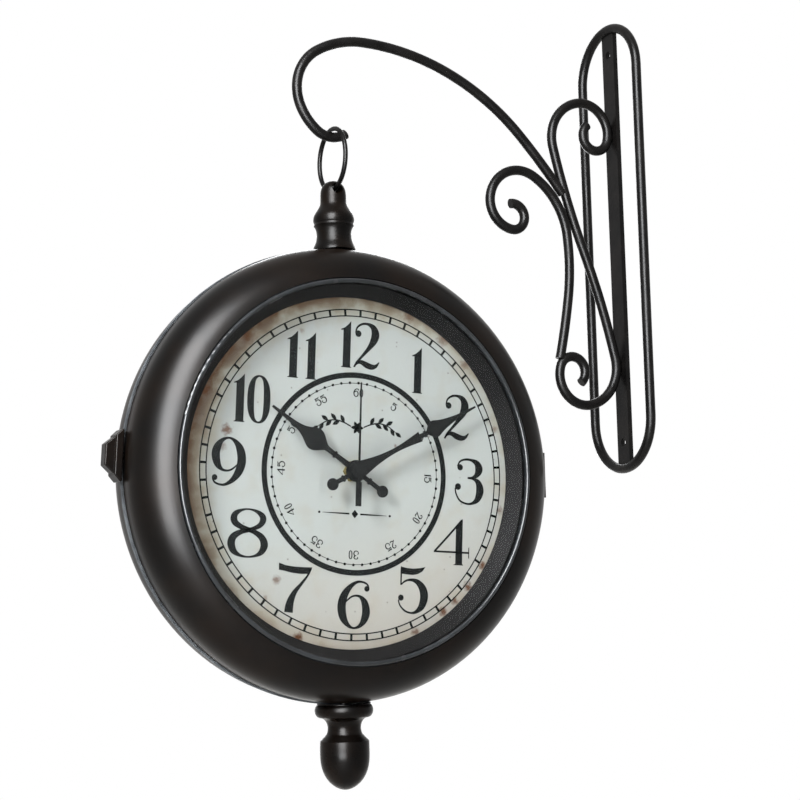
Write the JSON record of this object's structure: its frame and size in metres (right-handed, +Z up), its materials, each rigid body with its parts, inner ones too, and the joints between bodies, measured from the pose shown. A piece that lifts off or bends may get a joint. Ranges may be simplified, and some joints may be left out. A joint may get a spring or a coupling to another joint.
{
  "type": "double-sided wall clock",
  "caption": "Round double-sided wall clock with a hinged domed case and turned finials, hung by a ring from a scroll bracket that screws flat to a wall.",
  "frame": {"origin": "midway between the two wall screw holes, on the face of the strip that lies on the wall", "axes": "+X into the wall, +Z up, -Y the way the hinged front dial faces; the clock hangs 200 mm from the wall on -X"},
  "size_m": [0.3404, 0.0674, 0.4698],
  "materials": {
    "black_iron": "black semi-gloss paint on wrought iron",
    "bronze_enamel": "dark bronze satin enamel on spun steel",
    "bezel_enamel": "black satin enamel, worn bright on the bead",
    "clear_glass": "clear flat glass",
    "dial_paint": "aged off-white printed dial",
    "hand_black": "matt black paint",
    "brass": "turned brass",
    "zinc_steel": "zinc plated steel",
    "black_plastic": "moulded black plastic",
    "white_plastic": "natural acetal",
    "battery_jacket": "plain printed sleeve",
    "rubber": "black rubber",
    "copper_coil": "lacquered copper winding"
  },
  "bodies": {
    "bracket": {"wall_loop": "black_iron", "wall_strip": "black_iron", "s_scroll": "black_iron", "side_scroll": "black_iron", "hook_arm": "black_iron"},
    "ring": {"hanging_ring": "black_iron"},
    "clock": {"case_band": "bronze_enamel", "rear_shell": "bronze_enamel", "top_finial": "bronze_enamel", "bottom_finial": "bronze_enamel", "finial_nuts": "zinc_steel", "knob_nut": "zinc_steel", "hinge_fixed_leaf": "bronze_enamel", "hinge_pin": "bronze_enamel", "rear_bezel": "bezel_enamel", "rear_glass": "clear_glass", "rear_dial_ring": "bezel_enamel", "rear_dial": "dial_paint", "rear_dial_screws": "zinc_steel", "rear_housing": "black_plastic", "rear_back_cover": "black_plastic", "rear_battery": "battery_jacket", "rear_drive_unit": "copper_coil", "rear_washer": "rubber", "rear_hand_nut": "brass"},
    "door": {"front_shell": "bronze_enamel", "hinge_moving_leaf": "bronze_enamel", "front_bezel": "bezel_enamel", "front_glass": "clear_glass", "front_dial_ring": "bezel_enamel", "front_dial": "dial_paint", "front_dial_screws": "zinc_steel", "front_housing": "black_plastic", "front_back_cover": "black_plastic", "front_battery": "battery_jacket", "front_drive_unit": "copper_coil", "front_washer": "rubber", "front_hand_nut": "brass"},
    "knob": {"side_knob": "bronze_enamel"},
    "front_minute": {"front_minute_arbor": "brass", "front_minute_hand": "hand_black"},
    "front_hour": {"front_hour_wheel": "white_plastic", "front_hour_hand": "hand_black"},
    "front_set": {"front_set_wheel": "white_plastic", "front_set_knob": "black_plastic"},
    "front_second": {"front_second_arbor": "brass", "front_second_hand": "hand_black"},
    "rear_minute": {"rear_minute_arbor": "brass", "rear_minute_hand": "hand_black"},
    "rear_hour": {"rear_hour_wheel": "white_plastic", "rear_hour_hand": "hand_black"},
    "rear_set": {"rear_set_wheel": "white_plastic", "rear_set_knob": "black_plastic"},
    "rear_second": {"rear_second_arbor": "brass", "rear_second_hand": "hand_black"}
  },
  "joints": [
    {"name": "ring_swing", "type": "hinge", "parent": "bracket", "child": "ring", "pos_m": [-0.2, 0, 0.0511], "axis": [1, 0, 0], "range_deg": [-20, 20]},
    {"name": "clock_sway", "type": "hinge", "parent": "ring", "child": "clock", "pos_m": [-0.2, 0, 0.0196], "axis": [0, 1, 0], "range_deg": [-8, 20]},
    {"name": "door_hinge", "type": "hinge", "parent": "clock", "child": "door", "pos_m": [-0.0667, 0, -0.1473], "axis": [0, 0, 1], "range_deg": [0, 80]},
    {"name": "knob_turn", "type": "hinge", "parent": "clock", "child": "knob", "pos_m": [-0.33013, 0, -0.13889], "axis": [-0.9979, 0, 0.0645], "range_deg": [0, 720]},
    {"name": "front_minute_turn", "type": "hinge", "parent": "door", "child": "front_minute", "pos_m": [-0.2, 0, -0.1473], "axis": [0, 1, 0], "continuous": true},
    {"name": "front_hour_turn", "type": "hinge", "parent": "door", "child": "front_hour", "pos_m": [-0.2, 0, -0.1473], "axis": [0, 1, 0], "continuous": true},
    {"name": "front_set_turn", "type": "hinge", "parent": "door", "child": "front_set", "pos_m": [-0.188, 0, -0.1473], "axis": [0, 1, 0], "continuous": true},
    {"name": "front_second_turn", "type": "hinge", "parent": "door", "child": "front_second", "pos_m": [-0.2, 0, -0.1473], "axis": [0, 1, 0], "continuous": true},
    {"name": "rear_minute_turn", "type": "hinge", "parent": "clock", "child": "rear_minute", "pos_m": [-0.2, 0, -0.1473], "axis": [0, -1, 0], "continuous": true},
    {"name": "rear_hour_turn", "type": "hinge", "parent": "clock", "child": "rear_hour", "pos_m": [-0.2, 0, -0.1473], "axis": [0, -1, 0], "continuous": true},
    {"name": "rear_set_turn", "type": "hinge", "parent": "clock", "child": "rear_set", "pos_m": [-0.212, 0, -0.1473], "axis": [0, -1, 0], "continuous": true},
    {"name": "rear_second_turn", "type": "hinge", "parent": "clock", "child": "rear_second", "pos_m": [-0.2, 0, -0.1473], "axis": [0, -1, 0], "continuous": true}
  ],
  "couplings": [
    {"joint": "front_hour_turn", "follows": "front_minute_turn", "ratio": 0.083333},
    {"joint": "front_set_turn", "follows": "front_minute_turn", "ratio": -0.33333},
    {"joint": "rear_hour_turn", "follows": "rear_minute_turn", "ratio": 0.083333},
    {"joint": "rear_set_turn", "follows": "rear_minute_turn", "ratio": -0.33333}
  ]
}
